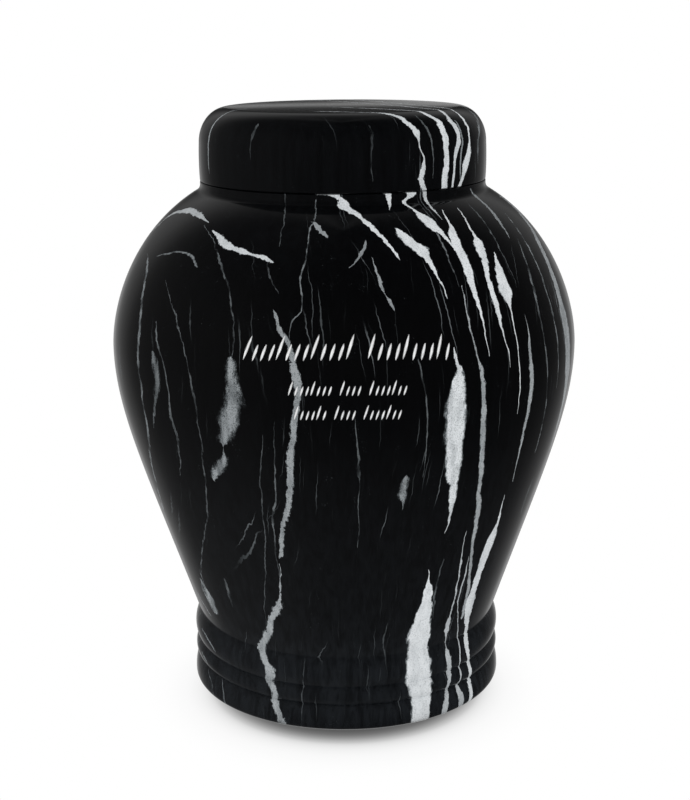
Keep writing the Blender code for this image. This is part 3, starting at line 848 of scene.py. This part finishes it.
def unroll(mesh, outline):
    """A map named OFBake: sideways around the axis, and upwards along the section.

    What hides takes less room in it than what shows.
    """
    line = np.array(outline)
    middles = (line[:-1] + line[1:]) / 2
    heights, radii = outer_profile()
    outside = middles[:, 0] > np.interp(middles[:, 1], heights, radii) - SEEN_DEPTH
    seen = outside | (middles[:, 1] > LID_TOP - SEEN_TOP)
    given = np.linalg.norm(np.diff(line, axis=0), axis=1) * np.where(seen, 1.0, HIDDEN_SHARE)
    places = read(mesh.vertices, "co", 3)
    section = np.stack([np.hypot(places[:, 0], places[:, 1]), places[:, 2]], axis=1)
    along = along_outline(section, line, given)
    corner_vertex = read(mesh.loops, "vertex_index", kind=int)
    corners = places[corner_vertex]
    centres = read(mesh.polygons, "center", 3)[faces_of_corners(mesh)]
    middle_turn = np.arctan2(centres[:, 0], -centres[:, 1])
    turn = np.arctan2(corners[:, 0], -corners[:, 1]) - middle_turn
    turn = (turn + math.pi) % (2 * math.pi) - math.pi
    turn[section[corner_vertex, 0] < MERGE] = 0
    around = 0.5 + (middle_turn + turn) / (2 * math.pi)
    layer = mesh.uv_layers.new(name="OFBake")
    layer.data.foreach_set("uv", np.stack([around, along[corner_vertex] / given.sum()], axis=1).ravel())


# Node trees


def spread(points):
    """Points with their first values brought to 0 at the first and 1 at the last."""
    first, last = points[0][0], points[-1][0]
    return [((place - first) / (last - first), *others) for place, *others in points]


class Formula:
    """Adds nodes to a tree so that they read as formulas: each call gives back the new node's output."""

    def __init__(self, tree):
        self.tree = tree

    def put(self, kind, *inputs, output=0, **settings):
        """Add a node of a kind, apply its settings, and fill its inputs in order."""
        node = self.tree.nodes.new("ShaderNode" + kind)
        for name, value in settings.items():
            setattr(node, name, value)
        sockets = [socket for socket in node.inputs if socket.enabled]
        for socket, value in zip(sockets, inputs):
            self.fill(socket, value)
        return [socket for socket in node.outputs if socket.enabled][output]

    def fill(self, socket, value):
        if isinstance(value, bpy.types.NodeSocket):
            self.tree.links.new(value, socket)
        else:
            socket.default_value = value

    def math(self, operation, *inputs):
        return self.put("Math", *inputs, operation=operation)

    def add(self, one, other):
        return self.math("ADD", one, other)

    def subtract(self, one, other):
        return self.math("SUBTRACT", one, other)

    def multiply(self, one, other):
        return self.math("MULTIPLY", one, other)

    def multiply_add(self, one, other, base):
        return self.math("MULTIPLY_ADD", one, other, base)

    def limited_share(self, value, share, most):
        """A share of a value, but no more than the most."""
        return self.math("MINIMUM", self.multiply(value, share), most)

    def size(self, value):
        return self.math("ABSOLUTE", value)

    def vector(self, operation, *inputs, output=0):
        return self.put("VectorMath", *inputs, operation=operation, output=output)

    def azimuth(self, x, y):
        """The angle around the axis in radians, 0 at the front and growing to the right."""
        return self.math("ARCTAN2", x, self.multiply(y, -1.0))

    def degrees(self, angle):
        return self.multiply(angle, math.degrees(1))

    def ramp(self, value, low, high, start=0.0, end=1.0):
        """Straight from start to end as value goes from low to high, and straight on beyond."""
        return self.put("MapRange", value, low, high, start, end, clamp=False)

    def step(self, value, span, start=0.0, end=1.0):
        """Softly from start to end as value goes through a span, and level beyond."""
        return self.put("MapRange", value, *span, start, end, interpolation_type="SMOOTHSTEP", clamp=False)

    def noise(self, place, detail=2.0, roughness=0.5):
        """Noise with features about one unit across, from 0 to 1."""
        return self.put("TexNoise", place, 1.0, detail, roughness)

    def grain(self, place, sizes, detail=2.0, roughness=0.5):
        """Noise whose features have the given size along each axis."""
        return self.noise(self.vector("DIVIDE", place, sizes), detail, roughness)

    def millimetres(self):
        """The place in the object in millimetres."""
        return self.vector("MULTIPLY", self.put("TexCoord", output=3), (1 / MM, 1 / MM, 1 / MM))

    def curve(self, value, points):
        """A smooth curve through points, given as pairs from 0 to 1 with both ends, and level beyond."""
        node = self.tree.nodes.new("ShaderNodeFloatCurve")
        node.mapping.extend = "HORIZONTAL"
        line = node.mapping.curves[0]
        line.points[0].location = points[0]
        line.points[-1].location = points[-1]
        for x, y in points[1:-1]:
            line.points.new(x, y)
        node.mapping.update()
        self.fill(node.inputs["Value"], value)
        return node.outputs["Value"]

    def mix(self, share, one, other):
        """A colour between two."""
        return self.put("Mix", share, one, other, data_type="RGBA")


def new_material(name):
    """A material with its shader and a formula for its tree."""
    material = bpy.data.materials.new(name)
    material.use_nodes = True
    return material, material.node_tree.nodes["Principled BSDF"], Formula(material.node_tree)


# Stone


def vein_group():
    """How white a vein is at a place, from its line and width there and the stone's shared unevenness."""
    tree = bpy.data.node_groups.new("vein", "ShaderNodeTree")
    tree.interface.new_socket("White", in_out="OUTPUT", socket_type="NodeSocketFloat")
    names = ("Across", "Centre", "Half", "Tone", "Feather", "Gaps", "Grain", "Ragged", "Speck", "Patch")
    for name in names:
        tree.interface.new_socket(name, in_out="INPUT", socket_type="NodeSocketFloat")
    source = tree.nodes.new("NodeGroupInput").outputs
    sink = tree.nodes.new("NodeGroupOutput").inputs
    form = Formula(tree)
    half = form.multiply(source["Half"], form.multiply_add(source["Patch"], WIDTH_CHANGE, 1.0))
    offset = form.size(form.subtract(source["Across"], source["Centre"]))
    wander = form.limited_share(half, *WANDER)
    offset = form.multiply_add(source["Ragged"], wander, offset)
    crumble = form.multiply(source["Grain"], form.limited_share(half, *CRUMBLE))
    offset = form.multiply_add(source["Speck"], crumble, offset)
    feather = form.multiply(half, source["Feather"])
    shape = form.step(offset, (form.subtract(half, feather), form.add(half, feather)), 1.0, 0.0)
    missing = form.multiply(form.step(source["Patch"], GAP_PATCH, 1.0, 0.0), source["Gaps"])
    pits = form.multiply(form.step(source["Speck"], PIT_SPECK), form.multiply(source["Grain"], PIT_DEPTH))
    tone = form.multiply(source["Tone"], form.subtract(1.0, missing))
    tone = form.multiply(tone, form.subtract(1.0, pits))
    tree.links.new(form.multiply(shape, tone), sink["White"])
    return tree


def with_widths(points):
    """The points of a vein or band, each with its half width."""
    return [(along, across, *(half or (TIP,))) for along, across, *half in points]


class Stone:
    """A stone's shared values in its node tree, and the veins that are added to them.

    Each node is made after those that feed it, no socket changes type on the way and no node clamps,
    because Cycles would otherwise keep more values at once than it has room for.
    """

    def __init__(self, form, group):
        self.form = form
        self.group = group
        self.heights, self.radii = outer_profile()
        self.place = form.millimetres()
        self.bent = self.bend()
        x = self.towards((1, 0, 0))
        y = self.towards((0, 1, 0))
        self.height = self.towards((0, 0, 1))
        self.azimuth = form.degrees(form.azimuth(x, y))
        self.ragged = form.subtract(form.grain(self.place, RAGGED_SIZES), 0.5)
        self.speck = form.subtract(form.grain(self.place, SPECK_SIZES, detail=1.0), 0.5)
        self.patch = form.subtract(form.grain(self.place, PATCH_SIZES, detail=3.0), 0.5)
        self.white = None

    def bend(self):
        """The place in millimetres, swayed by noise of several sizes."""
        form = self.form
        bent = self.place
        for sizes, reach in SWAYS:
            shift_x = form.subtract(form.grain(self.place, sizes, detail=1.0), 0.5)
            elsewhere = form.vector("ADD", form.vector("DIVIDE", self.place, sizes), SWAY_OFFSET)
            shift_y = form.subtract(form.noise(elsewhere, detail=1.0), 0.5)
            shift = form.put("CombineXYZ", shift_x, shift_y, form.multiply(shift_x, SWAY_RISE))
            bent = form.vector("MULTIPLY_ADD", shift, (reach, reach, reach), bent)
        return bent

    def towards(self, direction):
        """How far the swayed place lies in a direction."""
        return self.form.vector("DOT_PRODUCT", self.bent, direction)

    def across(self, bearing):
        """How far it lies across the sheets that face a bearing."""
        return self.towards((math.cos(bearing), math.sin(bearing), 0))

    def along(self, bearing):
        """How far it lies along those sheets, from the plane through the axis."""
        return self.towards((math.sin(bearing), -math.cos(bearing), 0))

    def add(self, white):
        self.white = white if self.white is None else self.form.math("MAXIMUM", self.white, white)

    def add_line(self, across, along, tone, look, points, margin):
        """A vein as a line of points (along, centre, half), from the lowest value along to the highest."""
        form = self.form
        first, last = points[0][0], points[-1][0]
        low = min(centre for _, centre, _ in points) - 1
        span = max(centre for _, centre, _ in points) + 1 - low
        width = max(half for _, _, half in points)
        share = form.ramp(along, first, last)
        line = spread(points)
        centre = form.curve(share, [(place, (centre - low) / span) for place, centre, _ in line])
        centre = form.multiply_add(centre, span, low)
        half = form.curve(share, [(place, half / width) for place, _, half in line])
        half = form.multiply(half, width)
        begun = form.step(along, (first - margin, first))
        ended = form.step(along, (last, last + margin), 1.0, 0.0)
        tone = form.multiply(form.multiply(begun, ended), tone)
        unevenness = (self.ragged, self.speck, self.patch)
        self.add(form.put("Group", across, centre, half, tone, *look, *unevenness, node_tree=self.group))

    def add_vein(self, vein):
        form = self.form
        bearing = math.radians(vein.bearing)
        points = []
        for level, azimuth, half in with_widths(vein.points[::-1]):
            radius = np.interp(level * MM, self.heights, self.radii) / MM
            points.append((level, radius * math.sin(math.radians(azimuth) - bearing), half))
        across = self.across(bearing)
        tone = vein.tone
        start, end = vein.reach
        if start is not None:
            tone = form.multiply(form.step(self.along(bearing), (start, start + SHEET_FADE)), tone)
        if end is not None:
            tone = form.multiply(form.step(self.along(bearing), (end - SHEET_FADE, end), 1.0, 0.0), tone)
        self.add_line(across, self.height, tone, vein.look, points, VEIN_FADE)

    def add_band(self, band):
        points = with_widths(band.points)
        self.add_line(self.height, self.azimuth, band.tone, band.look, points, BAND_FADE)

    def add_slivers(self, bearing, tone):
        """Thin wisps that run in the same sheets as the veins, in patches."""
        form = self.form
        bearing = math.radians(bearing)
        across = self.across(bearing)
        along = self.along(bearing)
        bedded = form.put("CombineXYZ", across, along, self.height)
        wisps = form.step(form.grain(bedded, SLIVER_SIZES, detail=0.0), SLIVER_NOISE)
        patches = form.step(form.grain(bedded, SLIVER_PATCH_SIZES, detail=1.0), SLIVER_PATCHES)
        square_on = form.step(form.size(along), SLIVER_START)
        self.add(form.multiply(form.multiply(wisps, patches), form.multiply(square_on, tone)))

    def add_dust(self):
        """Fine pale grains, in patches."""
        form = self.form
        grains = form.multiply(form.step(self.speck, DUST_SPECK), form.step(self.patch, DUST_PATCH))
        self.add(form.multiply(grains, DUST_TONE))


def marble(name, group, veins, bands, slivers):
    """Polished black stone with white veins, and a painted reflection that lightens the black by height in
    upright streaks.
    """
    material, shader, form = new_material(name)
    stone = Stone(form, group)
    for vein in veins:
        stone.add_vein(vein)
    for band in bands:
        stone.add_band(band)
    for bearing, tone in slivers:
        stone.add_slivers(bearing, tone)
    stone.add_dust()
    white = stone.white

    # Painted reflection: the black is lightened by height, most near the foot, least at mid height and a
    # little again near the top, broken into upright streaks of the stone's own clouding.
    level = form.ramp(stone.height, 0.0, PAINTED_SHEEN_HEIGHT)
    painted_sheen = form.curve(level, PAINTED_SHEEN)
    streak = form.grain(stone.bent, STREAK_SIZES, detail=3.0, roughness=0.6)
    painted_sheen = form.multiply(painted_sheen, form.step(streak, STREAK_NOISE, *STREAK_SHARES))
    black = form.mix(painted_sheen, *BLACKS)
    pale = form.mix(white, *PALES)
    colour = form.mix(form.math("POWER", white, PALE_POWER), black, pale)
    form.fill(shader.inputs["Base Color"], colour)
    form.fill(shader.inputs["Roughness"], form.ramp(white, 0.0, 1.0, *STONE_ROUGHNESS))
    shader.inputs["IOR"].default_value = STONE_IOR
    return material


def paint_material():
    """Matt white enamel in the cuts, a little uneven."""
    material, shader, form = new_material("engraving_paint")
    uneven = form.grain(form.millimetres(), PAINT_SIZES)
    form.fill(shader.inputs["Base Color"], form.mix(uneven, *PAINT_WHITES))
    form.fill(shader.inputs["Roughness"], form.ramp(uneven, 0.0, 1.0, *PAINT_ROUGHNESS))
    return material


# Pieces

vein_nodes = vein_group()
body_veins = RIGHT_SHOULDER_VEINS + RIGHT_BELLY_VEINS + LEFT_VEINS + FRONT_VEINS + BACK_VEINS
body_stone = marble("body_black_marble", vein_nodes, body_veins, BODY_BANDS, BODY_SLIVERS)
lid_stone = marble("lid_black_marble", vein_nodes, LID_VEINS, (), LID_SLIVERS)

body = turned("urn_body_marble", body_outline())
combine(body, cut_shapes("engraving_cuts"), "DIFFERENCE")
polished_normals(body.data)
unroll(body.data, body_outline())
dress(body, body_stone)

belly_core = inset(belly_outline(), PAINT_BELOW)
core = turned("belly_core", [point(0, belly_core[-1].y)] + belly_core[::-1] + [point(0, belly_core[0].y)])
painting = cut_shapes("engraving_paint")
combine(painting, core, "INTERSECT")
dress(painting, paint_material())

lid = turned("lid_marble_cap", lid_outline())
unroll(lid.data, lid_outline())
dress(lid, lid_stone)

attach(body, "root")
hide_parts("urn_body")
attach(painting, "root")
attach(lid, "root")
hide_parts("lid")


# Studio

# Brightness that the polish reflects, by azimuth in degrees, and straight behind by elevation
SIDE_LIGHT = (
    (-180, 0.22), (-168, 0.34), (-160, 0.44), (-154, 0.34), (-146, 0.24), (-136, 0.155), (-122, 0.085),
    (-90, 0.075), (-60, 0.07), (-25, 0.04), (0, 0.03), (30, 0.025), (60, 0.025), (100, 0.03),
    (122, 0.055), (136, 0.12), (146, 0.20), (154, 0.32), (160, 0.44), (168, 0.34), (180, 0.22),
)
BACK_LIGHT = ((0, 0.045), (4, 0.03), (10, 0.03), (16, 0.08), (26, 0.22), (38, 0.24), (55, 0.12), (90, 0.06))
UPPER_SHARE = 0.5               # what is left of the side light high up
LOW_LIGHT = 0.03                # added far below the horizon, where the pale floor is near
LOW_BACK_LIGHT = 0.80           # and this much more of it behind
LINE_LIGHT = 0.28               # a low thin light straight behind, which the top of the lid reflects
GLOW_LIGHT = 0.45               # a glow to the right of it

# Where these lights fade in or out: behind by azimuth in radians, the others in degrees of elevation,
# or to either side of straight behind
BEHIND_SPAN = (2.30, 3.05)
UPPER_SPAN = (15.0, 60.0)
HORIZON_SPAN = (-12.0, 6.0)
LOW_SPAN = (-60.0, -26.0)
LINE_FOOT = (2.3, 2.9)
LINE_TOP = (3.4, 4.0)
GLOW_FOOT = (-1.0, 1.0)
GLOW_TOP = (1.6, 3.2)
GLOW_SIDE = (-1.0, 5.0)
NARROW_SPAN = (5.0, 9.0)

# Brightness of the floor, by distance in millimetres from a point a little in front of the axis
SHADOW_SHIFT = 20.0
SHADOW = ((45, 0.05), (54, 0.14), (57.5, 0.25), (62, 0.52), (67, 0.82), (73, 0.93), (80, 0.97), (95, 1.0))
FLOOR_SIDES = 96
FLOOR_RADIUS = 4.0
FLOOR_DROP = 0.00005            # keeps it clear of the underside


def studio_world():
    """White to the camera, even light for the stone, and soft light panels behind it for the polish."""
    world = bpy.data.worlds.new("studio")
    bpy.context.scene.world = world
    world.use_nodes = True
    tree = world.node_tree
    tree.nodes.clear()
    form = Formula(tree)
    x, y, z = form.put("SeparateXYZ", form.put("TexCoord")).node.outputs
    azimuth = form.azimuth(x, y)
    around = form.curve(form.ramp(azimuth, -math.pi, math.pi), spread(SIDE_LIGHT))
    elevation = form.degrees(form.math("ARCSINE", z))
    upper = form.step(elevation, UPPER_SPAN, 1.0, UPPER_SHARE)
    behind = form.step(form.size(azimuth), BEHIND_SPAN)
    strip = form.curve(form.ramp(elevation, 0.0, 90.0), spread(BACK_LIGHT))
    raised = form.multiply(behind, form.step(elevation, HORIZON_SPAN))
    low = form.multiply_add(behind, LOW_BACK_LIGHT, LOW_LIGHT)
    low = form.multiply(low, form.step(elevation, LOW_SPAN, 1.0, 0.0))
    reflected = form.put("Mix", raised, form.multiply_add(around, upper, low), strip)
    offset = form.degrees(form.math("ARCTAN2", x, y))
    narrow = form.step(form.size(offset), NARROW_SPAN, 1.0, 0.0)
    line = form.multiply(form.step(elevation, LINE_FOOT), form.step(elevation, LINE_TOP, LINE_LIGHT, 0.0))
    glow = form.multiply(form.step(elevation, GLOW_FOOT), form.step(elevation, GLOW_TOP, GLOW_LIGHT, 0.0))
    glow = form.multiply(glow, form.step(offset, GLOW_SIDE))
    reflected = form.multiply_add(narrow, form.add(line, glow), reflected)
    path = tree.nodes.new("ShaderNodeLightPath")
    strength = form.put("Mix", path.outputs["Is Glossy Ray"], 1.0, reflected)
    background = form.put("Background", (1, 1, 1, 1), strength)
    output = tree.nodes.new("ShaderNodeOutputWorld")
    tree.links.new(background, output.inputs["Surface"])


def studio_floor():
    """A white floor with a soft shadow close around the foot."""
    ring = bmesh.new()
    bmesh.ops.create_circle(ring, cap_ends=True, segments=FLOOR_SIDES, radius=FLOOR_RADIUS)
    mesh = bpy.data.meshes.new("floor")
    ring.to_mesh(mesh)
    ring.free()
    floor = in_scene("floor", mesh)
    floor.location.z = -FLOOR_DROP
    floor.visible_glossy = False
    material, shader, form = new_material("studio_floor")
    tree = material.node_tree
    tree.nodes.remove(shader)
    distance = form.vector("LENGTH", form.vector("ADD", form.millimetres(), (0, SHADOW_SHIFT, 0)))
    level = form.curve(form.ramp(distance, SHADOW[0][0], SHADOW[-1][0]), spread(SHADOW))
    glow = form.put("Emission", (1, 1, 1, 1), level)
    tree.links.new(glow, tree.nodes["Material Output"].inputs["Surface"])
    mesh.materials.append(material)


def studio_camera():
    """The photograph's own view."""
    data = bpy.data.cameras.new("camera")
    data.sensor_fit = "VERTICAL"
    data.sensor_height = CAMERA_SENSOR
    data.lens = CAMERA_LENS
    camera = in_scene("camera", data)
    tilt = Matrix.Rotation(math.radians(90) - CAMERA_DROP, 4, "X")
    camera.matrix_world = Matrix.Translation(CAMERA_PLACE) @ tilt @ Matrix.Rotation(CAMERA_ROLL, 4, "Z")
    bpy.context.scene.camera = camera


studio_world()
studio_floor()
studio_camera()
bpy.context.scene.view_settings.view_transform = "Standard"
